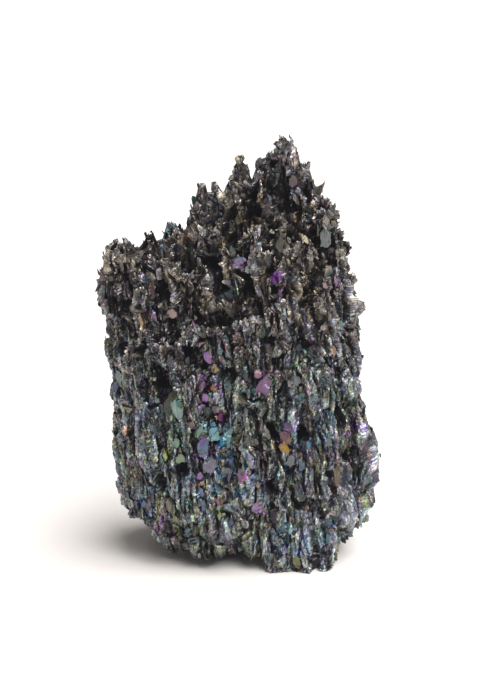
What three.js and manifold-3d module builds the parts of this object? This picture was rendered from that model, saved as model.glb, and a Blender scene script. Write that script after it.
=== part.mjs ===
// A silicon carbide crystal mass, as it breaks out of an electric furnace: upright hexagonal laths and plates,
// grown side by side into one dark lump with a stepped crown of spires, a ledge across its front and a broad foot.
// It is one piece. Millimetres, +Z up, X across the front, Y from the front (-) to the back (+).
import * as THREE from "three";
import { mergeVertices } from "three/addons/utils/BufferGeometryUtils.js";
import Module from "manifold-3d";

const wasm = await Module();
wasm.setup();

// Driving sizes, in millimetres.
const CORE_INSET = 1.6; // how far the plain core lies inside the outline that the laths reach
const CORE_SIDES = 18;
const SQUARENESS = 2.7; // exponent of the superellipse that rounds each cross-section
const ROW_STEP = 12; // height between rows of laths
const SIDES_TO = 66; // the height that the side laths' middles stay below
const LATH_SPACING = 7.1; // along the girth, between laths of a row
const LATH = { length: [13, 22], width: [3.4, 6.8], thickness: [2.0, 3.8] };
const LATH_BURIED = [0.3, 2.4]; // how far a lath's middle lies inside the outline
const HEM_INSET = 3; // a side lath reaches no lower than the outline does this far inside it
const EDGE_BURIED = 0.6; // of what the edge of a turned lath would stand out, the share that it is moved in
const END_SLACK = 0.4; // how far the end of a side lath may stand out of the outline
const BROKEN_SHARE = 0.55; // of the laths, those that end in a plain slope
const SEARCH_STEP = 0.5; // of the heights tried for the outline's top and underside
const FACE_TURN = THREE.MathUtils.degToRad(48); // how far a lath's flat turns away from the outline
const LEAN = THREE.MathUtils.degToRad(7); // the growth direction leans to -X as it rises

// The outline of the mass: at each height, its left, right, front and back edges.
const STATIONS = [
  { z: 0.0, left: -14, right: 20, front: -7, back: 13.5 },
  { z: 4.0, left: -18.6, right: 24.4, front: -14, back: 17 },
  { z: 10.0, left: -23.4, right: 27.8, front: -18, back: 19.6 },
  { z: 18.0, left: -25.4, right: 29.6, front: -19.8, back: 20.4 },
  { z: 25.0, left: -25.8, right: 28.8, front: -20.3, back: 20.4 },
  { z: 33.0, left: -25.8, right: 26.5, front: -20.3, back: 20 },
  { z: 43.5, left: -26.0, right: 25.2, front: -19.2, back: 19.4 },
  { z: 46.5, left: -26.0, right: 25.0, front: -16.4, back: 19.2 },
  { z: 53.0, left: -27.0, right: 24.8, front: -15.6, back: 18.6 },
  { z: 58.0, left: -27.8, right: 23.8, front: -14.4, back: 18 },
  { z: 63.0, left: -24.5, right: 21.8, front: -11.8, back: 16.8 },
  { z: 67.5, left: -13.5, right: 19.8, front: -8.5, back: 15.5 },
  { z: 73.5, left: -7, right: 18.2, front: -5, back: 14 },
  { z: 79.0, left: -0.5, right: 15.4, front: -1.5, back: 12.2 },
  { z: 83.0, left: 4.5, right: 13.2, front: 1, back: 10.5 },
];

// The crown: where each spire stands, the height of its tip, its size and how far its tip leans to +X, in degrees.
const SPIRES = [
  { x: -28.0, y: -5, tip: 61.5, width: 3.4, thickness: 5, lean: -13 },
  { x: -25.0, y: -6, tip: 68.2, width: 6.5, thickness: 5, lean: -4 },
  { x: -22.6, y: -3, tip: 68.4, width: 6.4, thickness: 6, lean: 3 },
  { x: -18.8, y: 1, tip: 68.4, width: 3.4, thickness: 2.6, lean: 2 },
  { x: -15.2, y: 4, tip: 71.6, width: 2.8, thickness: 2.2, lean: -8 },
  { x: -12.4, y: 6, tip: 70.6, width: 1.5, thickness: 1.2, lean: -6 },
  { x: -11.0, y: 2, tip: 69.2, width: 3.6, thickness: 3, lean: 0 },
  { x: -8.0, y: 4, tip: 79.6, width: 3.0, thickness: 2.4, lean: 2 },
  { x: -6.6, y: 2, tip: 75.2, width: 6.0, thickness: 4.5, lean: 0 },
  { x: -4.9, y: 6, tip: 78.4, width: 2.2, thickness: 2, lean: -3 },
  { x: -2.7, y: 4, tip: 80.8, width: 2.6, thickness: 2.2, lean: -2 },
  { x: 0.4, y: 7, tip: 83.8, width: 3.6, thickness: 3, lean: -3 },
  { x: 1.9, y: 5, tip: 83.2, width: 2.2, thickness: 2.6, lean: -4 },
  { x: 4.6, y: 7, tip: 83.6, width: 4.2, thickness: 3.4, lean: -6 },
  { x: 6.4, y: 5, tip: 86.4, width: 2.6, thickness: 3, lean: 0 },
  { x: 10.4, y: 6, tip: 89.6, width: 3.6, thickness: 3, lean: 7 },
  { x: 10.8, y: 3, tip: 87.4, width: 5.6, thickness: 4, lean: 0 },
  { x: 12.0, y: 5, tip: 88.0, width: 3.2, thickness: 3, lean: 4 },
  { x: 13.6, y: 7, tip: 84.6, width: 3.0, thickness: 3, lean: 3 },
  { x: 15.6, y: 4, tip: 82.0, width: 3.2, thickness: 3.6, lean: 2 },
  { x: 17.1, y: 5, tip: 78.8, width: 1.4, thickness: 1.4, lean: 3 },
  { x: 18.6, y: 3, tip: 76.4, width: 4.6, thickness: 4, lean: 4 },
  { x: 20.6, y: 1, tip: 71.6, width: 4.4, thickness: 4, lean: 4 },
  { x: 22.2, y: 4, tip: 67.4, width: 3.6, thickness: 4, lean: 4 },
];
const SPIRE_DEPTH = 22; // how far a spire reaches down into the mass
const SPIRES_STAND_PROUD = 2.2; // of the laths between them

// The laths of the foot that the mass stands on at the front: a block of them in rows and columns.
const FOOT = { left: 5, right: 19, front: -14, back: -6, spacing: 4, height: 20, lean: -10, rounding: 4 };

// The laths that end in the sloping top: one to each place of a grid, seen from above.
const TOP_SPACING = 5.9;
const TOP_FROM = 50; // the height that the sloping top begins at
const TOP_LATH = { length: [12, 17], width: [3.4, 5.6], thickness: [2.6, 4.2], rise: [-0.5, 3.2] };

// Hollows where laths have broken out: the middle of each, and its width, depth and height.
const HOLLOWS = [
  { at: [-16.5, -18, 40.5], size: [6, 8, 11] },
  { at: [-20.5, -15.5, 49], size: [4.5, 7, 9] },
  { at: [-8.5, -17, 46.5], size: [5, 7, 8] },
  { at: [11, -17, 45.4], size: [7.5, 7, 6] },
  { at: [19, -14, 44.6], size: [6.5, 7, 4] },
  { at: [9.6, -2, 77.5], size: [5, 8, 10] },
  { at: [-4.2, -11, 62.5], size: [4, 7, 10] },
  { at: [-15, -11, 60], size: [5, 7, 8] },
  { at: [3.8, -20, 31.5], size: [2.6, 7, 11] },
  { at: [0, -14, 0.5], size: [13, 13, 8] },
  { at: [-6, 20, 44], size: [6, 7, 11] },
  { at: [12, 19, 60], size: [5, 7, 10] },
  { at: [8, 20.5, 24], size: [5, 7, 12] },
  { at: [27, 4, 52], size: [7, 5, 11] },
  { at: [-28, 4, 34], size: [7, 5, 12] },
];

// The same numbers at every run.
function randomFrom(seed) {
  let state = seed;
  return (low = 0, high = 1) => {
    state = (state + 0x6d2b79f5) | 0;
    let mixed = Math.imul(state ^ (state >>> 15), 1 | state);
    mixed = (mixed + Math.imul(mixed ^ (mixed >>> 7), 61 | mixed)) ^ mixed;
    return low + ((high - low) * ((mixed ^ (mixed >>> 14)) >>> 0)) / 4294967296;
  };
}

// A closed geometry as a solid that can be joined and cut.
function solidOf(geometry, matrix = new THREE.Matrix4()) {
  const bare = new THREE.BufferGeometry();
  bare.setAttribute("position", geometry.getAttribute("position").clone());
  if (geometry.index) bare.setIndex(geometry.index.clone());
  const merged = mergeVertices(bare.applyMatrix4(matrix), 1e-4);
  return new wasm.Manifold(
    new wasm.Mesh({
      numProp: 3,
      vertProperties: merged.attributes.position.array,
      triVerts: new Uint32Array(merged.index.array),
    }),
  );
}

// A solid's faces as a geometry, flat shaded.
function geometryOf(solid) {
  const { vertProperties, triVerts } = solid.getMesh();
  const shared = new THREE.BufferGeometry();
  shared.setAttribute("position", new THREE.BufferAttribute(vertProperties, 3));
  shared.setIndex(new THREE.BufferAttribute(triVerts, 1));
  const flat = shared.toNonIndexed();
  flat.computeVertexNormals();
  return flat;
}

// The outline at any height, between the two stations around it.
function outlineAt(z) {
  const top = STATIONS.length - 1;
  let upper = STATIONS.findIndex((station) => station.z > z);
  if (upper < 0) upper = top;
  const below = STATIONS[Math.max(upper - 1, 0)];
  const above = STATIONS[upper];
  const share = THREE.MathUtils.clamp((z - below.z) / (above.z - below.z || 1), 0, 1);
  const mix = (edge) => THREE.MathUtils.lerp(below[edge], above[edge], share);
  return { left: mix("left"), right: mix("right"), front: mix("front"), back: mix("back") };
}

// The point of the outline at a height and an angle from +X towards +Y, moved in by inset.
function outlinePoint(z, angle, inset) {
  const { left, right, front, back } = outlineAt(z);
  const rounded = (value) => Math.sign(value) * Math.abs(value) ** (2 / SQUARENESS);
  const across = Math.max((right - left) / 2 - inset, 1);
  const deep = Math.max((back - front) / 2 - inset, 1);
  return new THREE.Vector3(
    (left + right) / 2 + across * rounded(Math.cos(angle)),
    (front + back) / 2 + deep * rounded(Math.sin(angle)),
    z,
  );
}

// Whether a place lies inside the outline, or no further outside it than slack.
function isInside(x, y, z, slack = 0) {
  const { left, right, front, back } = outlineAt(z);
  const across = Math.abs((2 * x - left - right) / (right - left + 2 * slack));
  const deep = Math.abs((2 * y - front - back) / (back - front + 2 * slack));
  return across ** SQUARENESS + deep ** SQUARENESS < 1;
}

// The height of the outline's top over a place seen from above, or 0 where there is none.
function topAt(x, y) {
  let z = STATIONS.at(-1).z;
  while (z > 0 && !isInside(x, y, z)) z -= SEARCH_STEP;
  return z;
}

// The height of the outline's underside at a place seen from above.
function bottomAt(x, y) {
  let z = 0;
  while (z < SIDES_TO && !isInside(x, y, z)) z += SEARCH_STEP;
  return z;
}

// The height of the crown at x, between the tips of the spires around it.
function crownAt(x) {
  const next = SPIRES.findIndex((spire) => spire.x > x);
  if (next < 0) return SPIRES.at(-1).tip;
  if (next === 0) return SPIRES[0].tip;
  const [a, b] = [SPIRES[next - 1], SPIRES[next]];
  return THREE.MathUtils.mapLinear(x, a.x, b.x, a.tip, b.tip);
}

// The plain mass inside the laths: rings of points joined by quads, and closed by a fan at each end.
function coreGeometry() {
  const points = [];
  const faces = [];
  const last = STATIONS.length - 1;
  STATIONS.forEach(({ z }, row) => {
    for (let side = 0; side < CORE_SIDES; side++) {
      const angle = ((side + 0.5 * (row % 2)) / CORE_SIDES) * 2 * Math.PI;
      points.push(outlinePoint(z, angle, CORE_INSET));
    }
  });
  for (let row = 0; row < last; row++) {
    for (let side = 0; side < CORE_SIDES; side++) {
      const next = (side + 1) % CORE_SIDES;
      const [a, b] = [row * CORE_SIDES + side, row * CORE_SIDES + next];
      const [c, d] = [a + CORE_SIDES, b + CORE_SIDES];
      if (row % 2) faces.push([a, b, d], [a, d, c]);
      else faces.push([a, b, c], [b, d, c]);
    }
  }
  for (const [row, facesUp] of [[0, false], [last, true]]) {
    const { left, right, front, back } = STATIONS[row];
    const middle = points.push(new THREE.Vector3((left + right) / 2, (front + back) / 2, STATIONS[row].z)) - 1;
    for (let side = 0; side < CORE_SIDES; side++) {
      const rim = [row * CORE_SIDES + side, row * CORE_SIDES + ((side + 1) % CORE_SIDES)];
      faces.push(facesUp ? [...rim, middle] : [...rim.reverse(), middle]);
    }
  }
  const geometry = new THREE.BufferGeometry().setFromPoints(points);
  geometry.setIndex(faces.flat());
  return geometry;
}

// A flat lath: length along Z from its middle, width along X, thickness along Y. Its ends are roofs of a hexagon,
// or where it is broken plain slopes. slant tips the ends, so that no two laths end alike.
function lathGeometry(length, width, thickness, slant, broken = false) {
  const [half, side] = [length / 2, width / 2];
  const shoulder = Math.min(width * 0.55, half * 0.6);
  const slope = shoulder * slant;
  const corners = broken
    ? [[-side, -half - slope], [side, -half + slope], [side, half - slope], [-side, half + slope]]
    : [
        [-side, -half + shoulder],
        [-side * slant, -half],
        [side, -half + shoulder * 0.5],
        [side, half - shoulder],
        [side * slant, half],
        [-side, half - shoulder * 0.6],
      ];
  const outline = new THREE.Shape(corners.map(([x, y]) => new THREE.Vector2(x, y)));
  const geometry = new THREE.ExtrudeGeometry(outline, { depth: thickness, bevelEnabled: false });
  return geometry.translate(0, 0, -thickness / 2).rotateX(Math.PI / 2);
}

// Where a lath stands: its middle, its turn about its own length, and its lean to +X and to +Y.
function placed(middle, turn, leanX, leanY) {
  const lean = new THREE.Matrix4().makeRotationFromEuler(new THREE.Euler(-leanY, leanX, 0));
  return new THREE.Matrix4()
    .makeTranslation(middle)
    .multiply(lean)
    .multiply(new THREE.Matrix4().makeRotationZ(turn));
}

// A lath's middle, moved in until neither of its ends stands further out of the outline than END_SLACK.
function drawnIn(middle, length, leanX, leanY) {
  const reach = new THREE.Vector3(Math.sin(leanX), Math.sin(leanY), 1).multiplyScalar(length / 2);
  const staysIn = (end) => isInside(end.x, end.y, end.z, END_SLACK);
  const moved = middle.clone();
  for (let step = 0; step < 10; step++) {
    if (staysIn(moved.clone().add(reach)) && staysIn(moved.clone().sub(reach))) break;
    moved.x *= 0.97;
    moved.y *= 0.97;
  }
  return moved;
}

// The laths that clothe the sides, row over row, each across the gap between two below it.
function sideLaths(random) {
  const laths = [];
  for (let z = 6, row = 0; z < SIDES_TO; z += ROW_STEP, row++) {
    const { left, right, front, back } = outlineAt(z);
    const girth = (Math.PI * (right - left + back - front)) / 2;
    const count = Math.round(girth / LATH_SPACING);
    for (let n = 0; n < count; n++) {
      const angle = ((n + (row % 2) / 2 + random(-0.3, 0.3)) / count) * 2 * Math.PI;
      const length = random(...LATH.length);
      const width = random(...LATH.width);
      const faceTurn = random(-FACE_TURN, FACE_TURN);
      const edgeReach = (width / 2) * Math.sin(Math.abs(faceTurn));
      const middle = outlinePoint(z + random(-3, 3), angle, random(...LATH_BURIED) + EDGE_BURIED * edgeReach);
      const hem = outlinePoint(z, angle, HEM_INSET);
      middle.z = Math.max(middle.z, bottomAt(hem.x, hem.y) + length / 2);
      middle.z = Math.min(middle.z, crownAt(middle.x) - length / 2 - random(0, SPIRES_STAND_PROUD));
      const turn = angle + Math.PI / 2 + faceTurn;
      const [leanX, leanY] = [-LEAN + random(-0.1, 0.1), random(-0.08, 0.08)];
      const shape = lathGeometry(
        length,
        width,
        random(...LATH.thickness),
        random(-0.6, 0.6),
        random() < BROKEN_SHARE,
      );
      laths.push(solidOf(shape, placed(drawnIn(middle, length, leanX, leanY), turn, leanX, leanY)));
    }
  }
  return laths;
}

// The laths whose ends make the sloping top, on a grid with every other row shifted.
function topLaths(random) {
  const laths = [];
  const { left, right, front, back } = outlineAt(TOP_FROM);
  for (let y = front, row = 0; y < back; y += TOP_SPACING * 0.87, row++) {
    for (let x = left + (row % 2) * TOP_SPACING * 0.5; x < right; x += TOP_SPACING) {
      const place = new THREE.Vector3(x + random(-1, 1), y + random(-1, 1), 0);
      const highest = crownAt(place.x) - SPIRES_STAND_PROUD;
      const top = Math.min(topAt(place.x, place.y) + random(...TOP_LATH.rise), highest);
      if (top < TOP_FROM) continue;
      const length = random(...TOP_LATH.length);
      const shape = lathGeometry(
        length,
        random(...TOP_LATH.width),
        random(...TOP_LATH.thickness),
        random(-0.7, 0.7),
        random() < BROKEN_SHARE,
      );
      place.z = top - length / 2;
      laths.push(solidOf(shape, placed(place, random(-0.8, 0.8), random(-0.12, 0.06), random(-0.1, 0.1))));
    }
  }
  return laths;
}

// The spires of the crown, each with its tip at the stated height.
function spires(random) {
  return SPIRES.map(({ x, y, tip, width, thickness, lean }) => {
    const tilt = THREE.MathUtils.degToRad(lean);
    const length = SPIRE_DEPTH;
    const shape = lathGeometry(length, width, thickness, random(-0.5, 0.5));
    const middle = new THREE.Vector3(x - (Math.sin(tilt) * length) / 2, y, tip - (Math.cos(tilt) * length) / 2);
    return solidOf(shape, placed(middle, random(-0.25, 0.25), tilt, random(-0.06, 0.06)));
  });
}

// The foot's laths, which reach a little under the surface that the mass stands on and are cut off there.
function footLaths(random) {
  const laths = [];
  for (let x = FOOT.left; x <= FOOT.right; x += FOOT.spacing) {
    for (let y = FOOT.front; y <= FOOT.back; y += FOOT.spacing) {
      const length = FOOT.height + random(0, 5);
      const shape = lathGeometry(length, FOOT.spacing * 1.35, FOOT.spacing * 1.1, random(-0.4, 0.4));
      const aside = (2 * x - FOOT.left - FOOT.right) / (FOOT.right - FOOT.left);
      const lift = FOOT.rounding * Math.max(aside, 0) ** 2;
      const middle = new THREE.Vector3(x + random(-0.5, 0.5), y + random(-0.6, 0.6), length / 2 - 3 + lift);
      laths.push(solidOf(shape, placed(middle, random(-0.5, 0.5), THREE.MathUtils.degToRad(FOOT.lean) / 2, 0.1)));
    }
  }
  return laths;
}

// The hollows, each in the shape of a lath that is missing.
function hollows(random) {
  return HOLLOWS.map(({ at, size: [width, depth, height] }) => {
    const gap = lathGeometry(height, width, depth, random(-0.6, 0.6));
    return solidOf(gap, placed(new THREE.Vector3(...at), random(-0.3, 0.3), -LEAN, 0));
  });
}

// Everything below the surface that the mass stands on.
function ground() {
  const depth = 40;
  return solidOf(new THREE.BoxGeometry(200, 200, depth).translate(0, 0, -depth / 2));
}

// The mass's outer skin alone: the largest body, without the closed pores that overlapping laths leave.
function outerBody(solid) {
  return solid.decompose().sort((a, b) => b.volume() - a.volume())[0];
}

function crystalMass() {
  const random = randomFrom(7);
  const grown = [solidOf(coreGeometry()), ...sideLaths(random), ...topLaths(random)];
  grown.push(...spires(random), ...footLaths(random));
  const whole = grown.reduce((mass, lath) => mass.add(lath));
  const cut = hollows(random).reduce((mass, hollow) => mass.subtract(hollow), whole);
  return geometryOf(outerBody(cut.subtract(ground())));
}

const geometry = crystalMass();
geometry.computeBoundingBox();
const centre = geometry.boundingBox.getCenter(new THREE.Vector3());

const crystal = new THREE.Mesh(
  geometry,
  new THREE.MeshStandardMaterial({ color: 0x2a2a2c, roughness: 0.35, metalness: 0.9, flatShading: true }),
);
crystal.name = "silicon_carbide_crystal";
crystal.position.set(-centre.x, -centre.y, 0); // the origin lies under the middle, where the mass stands

const group = new THREE.Group();
group.add(crystal);

export default group;
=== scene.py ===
"""The looks of a silicon carbide crystal mass: a craggy ground of dark crystals under a thin clear film, with
splinters and laths on it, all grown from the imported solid's own surface. Sizes are in millimetres, +Z up, and
the meshes get them in metres."""

import math

import bpy
import numpy as np
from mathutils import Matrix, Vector
from mathutils.bvhtree import BVHTree


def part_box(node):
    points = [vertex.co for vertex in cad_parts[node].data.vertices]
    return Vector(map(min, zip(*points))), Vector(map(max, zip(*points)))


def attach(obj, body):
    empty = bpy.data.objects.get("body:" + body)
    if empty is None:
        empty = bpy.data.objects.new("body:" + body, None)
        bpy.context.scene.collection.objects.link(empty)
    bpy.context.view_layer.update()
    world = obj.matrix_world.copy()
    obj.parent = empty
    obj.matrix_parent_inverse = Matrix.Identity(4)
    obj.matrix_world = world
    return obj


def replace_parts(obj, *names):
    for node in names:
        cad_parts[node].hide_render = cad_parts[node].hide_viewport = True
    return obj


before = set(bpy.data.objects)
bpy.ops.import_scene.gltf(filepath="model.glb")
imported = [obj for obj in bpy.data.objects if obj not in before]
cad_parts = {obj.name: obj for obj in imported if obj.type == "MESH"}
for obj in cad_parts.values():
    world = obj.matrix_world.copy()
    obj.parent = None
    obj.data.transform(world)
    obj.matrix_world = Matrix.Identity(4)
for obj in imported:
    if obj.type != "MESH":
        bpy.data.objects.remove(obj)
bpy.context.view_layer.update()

MM = 0.001
NODE = "silicon_carbide_crystal"
FACES_A_PIECE = 190_000  # a piece stays under 200,000 triangles

# The ground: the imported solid's skin, made again of even faces and moved out and in.
GROUND_VOXEL = 0.28
GROUND_RISE = 0.35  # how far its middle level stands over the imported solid's surface
SMOOTHING_ROUNDS = 4
THINNEST_SHARE = 0.24  # of the local thickness, the most that a side moves in
DEEPEST_LOOK = 20.0  # the thickness that counts as deep enough
HOLLOW_DEPTH = 3.0
RESTING_HEIGHT = 1.0  # up to here, the underside stays near the surface that it rests on
BOX_LAYER = 1.0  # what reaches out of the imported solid's box is pressed into this layer inside it

# The relief's sizes: how much it is in the lower part, and what the upper part adds.
BUNDLE_RISE = (0.28, 0.57)
CLEFT_DEPTH = (0.75, 1.05)
CLEFT_WIDTH = (0.2, 0.08)
GAP_DEPTH = (0.65, 0.5)
CUP_SHARE = (0.05, 0.28)
CUP_DEPTH = (1.2, 0.6)
CUP_RIM = 0.3
CRYSTAL_RISE = (0.2, 0.3)
CRYSTAL_TILT = (0.35, 0.15)
CRYSTAL_GROOVE = 0.2
GRIT = 0.21  # how uneven the crystals' own faces are
UPPER_PART = (44, 58)  # the heights between which the upper part takes over, give or take the waver
UPPER_WAVER = 7
BEND_AMOUNT = (0.5, 0.35)
BEND_RISE = (30, 55)  # the heights between which it grows

# How many splinters, laths and scattered plates grow on the ground.
SPLINTERS = 1_500
LATHS = 1_200
PLATES = 420
TRIES_A_CRYSTAL = 2.6
CLEAR_WAY = 1.5  # a crystal needs so much free room in front of it

PLATE_RISE = 0.2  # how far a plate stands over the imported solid's surface
PLATE_STEP = 0.12
PLATE_REACH = 1.6  # how far in front of and behind its level a plate takes the body's points along

SPLINTER_RADIUS = 0.17
SPLINTER_RADII = (0.08, 0.45)
SPLINTER_LENGTH = 0.6
SPLINTER_LENGTHS = (0.25, 2.0)
CROWN_RISE = (60, 12)  # the height from which the splinters grow longer, and over how much more

FIN_SHARE = 0.45
HEXAGONAL_SHARE = 0.35
LATH_LENGTH = 1.2
LATH_LENGTHS = (0.4, 4.5)
LATH_WIDTH = 0.33
LATH_WIDTHS = (0.15, 1.3)
LATH_DEPTHS = (0.4, 1.0)
FIN_WIDTHS = (0.5, 1.4)
FIN_DEPTHS = (0.08, 0.26)

GROWTH_LEAN = math.radians(5)  # the crystals lean to -X as they rise
LEFT_LEAN = math.radians(8)  # and more so towards the left edge
LEFT_PART = (2, 25)  # where the further lean begins, and how far it takes to be full

# A noise is asked for with its cells' size across, from front to back and up, and its seed.
LATTICE = 32  # it repeats after so many cells each way

# The camera's view, which is also where the places below are measured: across and down, in picture elements.
PICTURE = (500, 675)
LENS = 110.0
SENSOR = 36.0  # across the picture's longer side, as the lens in millimetres
ELEVATION = math.radians(15)
DISTANCE = 438.0
TARGET = (2.6, 0.0, 46.5)

# Deep hollows: the place in the picture, half the width and half the height in millimetres. They are dug in,
# and painted shade darkens them.
HOLLOWS = (
    (272, 178, 3, 2.6), (286, 192, 1.8, 1.6), (257, 206, 2.6, 1.3), (308, 184, 1.2, 2.2), (252, 190, 1.2, 2),
    (204, 212, 1.2, 2.4), (213, 228, 1.3, 2.6), (198, 244, 1.6, 2), (213, 262, 2, 2), (190, 236, 1.2, 1.4),
    (148, 246, 1.4, 1.6), (267, 262, 1.9, 1.6), (289, 268, 1.5, 2.4), (288, 228, 1.2, 2),
    (308, 232, 0.9, 4.4), (232, 240, 1, 2.4), (220, 300, 1.6, 2), (246, 275, 1.5, 1.2), (228, 318, 1.4, 3),
    (331, 246, 1.2, 2.2), (126, 278, 1.6, 2), (128, 303, 1.6, 2), (144, 350, 2, 2.2), (164, 378, 2.2, 2.8),
    (126, 378, 1.6, 1.8), (143, 390, 1.4, 2), (207, 338, 2.6, 2), (205, 350, 1.6, 1.2), (230, 345, 1.2, 2.4),
    (230, 372, 0.9, 2), (258, 334, 2.2, 1.8), (280, 340, 2.8, 1.5), (305, 344, 2, 0.8), (327, 323, 1.2, 2),
    (287, 392, 1.2, 3.6), (246, 404, 1.8, 1.8), (262, 410, 1.2, 2.2), (298, 324, 1.4, 1.2),
    (354, 375, 1, 1.8), (122, 412, 1.1, 2), (335, 415, 1, 2.2), (275, 432, 0.9, 2.2), (304, 436, 0.8, 2.6),
    (350, 452, 1.2, 1.2), (160, 484, 1.6, 2), (226, 484, 1.6, 1.2), (262, 462, 0.9, 2), (352, 487, 1.4, 0.7),
    (272, 490, 1.3, 1.4), (228, 510, 1.2, 1.6), (300, 505, 1.2, 1), (166, 518, 1.2, 2), (182, 470, 0.9, 2.2),
    (300, 475, 0.8, 2), (186, 345, 0.9, 2.2),
)

# Notches that run through the crown from front to back: the place of the lowest point in the picture, and how
# steeply the sides rise.
NOTCHES = (
    (158, 256, 7), (160.5, 256, 7), (137, 252, 2), (182, 234, 3), (222, 193, 3), (252, 184, 8),
    (262, 164, 3), (193, 205, 5), (318, 196, 4), (210, 196, 5), (304, 170, 4), (93.5, 292, 3.5),
)
NOTCH_FLOOR = 0.45  # half the width of a notch's level bottom
NOTCH_REACH = 2.6  # how far to each side of its middle a notch goes
NOTCH_WAVER = 0.3
NOTCH_SHARE = 0.94  # what it takes off, of all that stands over it

# Places where the body swells out: the place in the picture, the radius and the amount in millimetres.
SWELLS = (
    (352, 512, 4.5, 2.1), (342, 526, 4, 2), (366, 474, 4.5, 1.8), (362, 455, 4, 1), (352, 320, 5, 0.2),
    (352, 360, 6, 0.9), (355, 400, 6, 0.9), (359, 438, 4, 1.2), (122, 440, 7, 1.1), (110, 335, 5, -2.1),
    (112, 375, 4, -0.8), (103, 264, 3, -1.6), (326, 208, 3, 1.6), (337, 230, 3, 1), (350, 300, 4, 1.2),
    (299, 166, 3, 1.2), (347, 285, 4, 0.5), (168, 540, 4, 0.8), (205, 548, 3, 0.8), (232, 546, 3, 0.9),
    (256, 552, 2.5, 0.8), (284, 364, 2.6, 3), (303, 364, 2.6, 2.8), (321, 362, 2.2, 1.8),
    (322, 561, 2.5, -1.2), (350, 500, 3, 0.8), (184, 532, 5, 1.3), (210, 532, 5, 1.5), (236, 532, 5, 1.6),
    (293, 152, 2.5, 1), (272, 158, 2.5, 1), (309, 180, 2.5, 0.9), (350, 302, 3.5, 1.5), (360, 434, 3, 1),
    (368, 460, 4, 0.9), (118, 250, 3, 0.8), (199, 215, 3, 0.7), (201, 190, 2, 0.7), (112, 398, 3.5, -0.8),
    (131, 514, 3.5, -1.3), (319, 560, 2.5, -0.9),
)

# Places that are paler or darker: the place in the picture, the radius in millimetres and by what share. The
# dark spots along the bottom edge of the belly are painted shade under the overhang, and the pale spot on the
# foot is painted light; the others make parts paler or darker.
PAINTED_LIGHT_AND_TONES = (
    (335, 235, 7, -0.28), (325, 285, 7, -0.24), (122, 262, 6, 0.24), (298, 150, 5.5, 0.36),
    (215, 200, 6, 0.24), (140, 365, 7, -0.2), (225, 375, 7, -0.12), (280, 350, 6, -0.1), (125, 460, 7, -0.2),
    (165, 500, 6, -0.1), (300, 545, 6, 0.46), (240, 545, 5, 0.12), (345, 375, 6, -0.1), (245, 275, 7, -0.12),
    (190, 546, 2.1, -0.7), (208, 549, 2.1, -0.75), (222, 550, 2.1, -0.75), (236, 549, 2.1, -0.7),
    (248, 549, 2, -0.6), (258, 555, 1.5, -0.5), (176, 541, 2, -0.5), (362, 448, 4, -0.35),
)
DARKEST_TONE_AND_LIGHT = 0.1

# Film thickness in nanometres for the colour that it gives.
GOLD, ORANGE, RED, PURPLE, BLUE, CYAN, TEAL = 233, 250, 263, 281, 312, 326, 340
GREEN, LIME, YELLOW, PINK, MAGENTA, VIOLET, LAVENDER = 355, 376, 396, 430, 450, 468, 490

# Film thickness at even shares of the crystals, in the crown and in the lower part.
CROWN_FILMS = (222, 230, 236, 241, 248, 256, 267, 318, 334, 348, 440)
LOWER_FILMS = (240, 252, 266, 288, 308, 322, 332, 340, 348, 358, 376, 400, 432, 452, 474)
TAN_FILM = 232
CROWN_FILMS_RISE = (38, 22)  # the height from which the crown's films take over, and over how much more
DULLER_RISE = (40, 25)  # the same for where the colours grow duller
FAINTEST_COLOUR = 0.045
COLOUR_SPREAD = 1.65
USUAL_COLOUR = (0.09, 0.13)  # and what a lively part adds to it
FILM_DRIFT = 14  # how much the film's thickness drifts over one crystal

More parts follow.
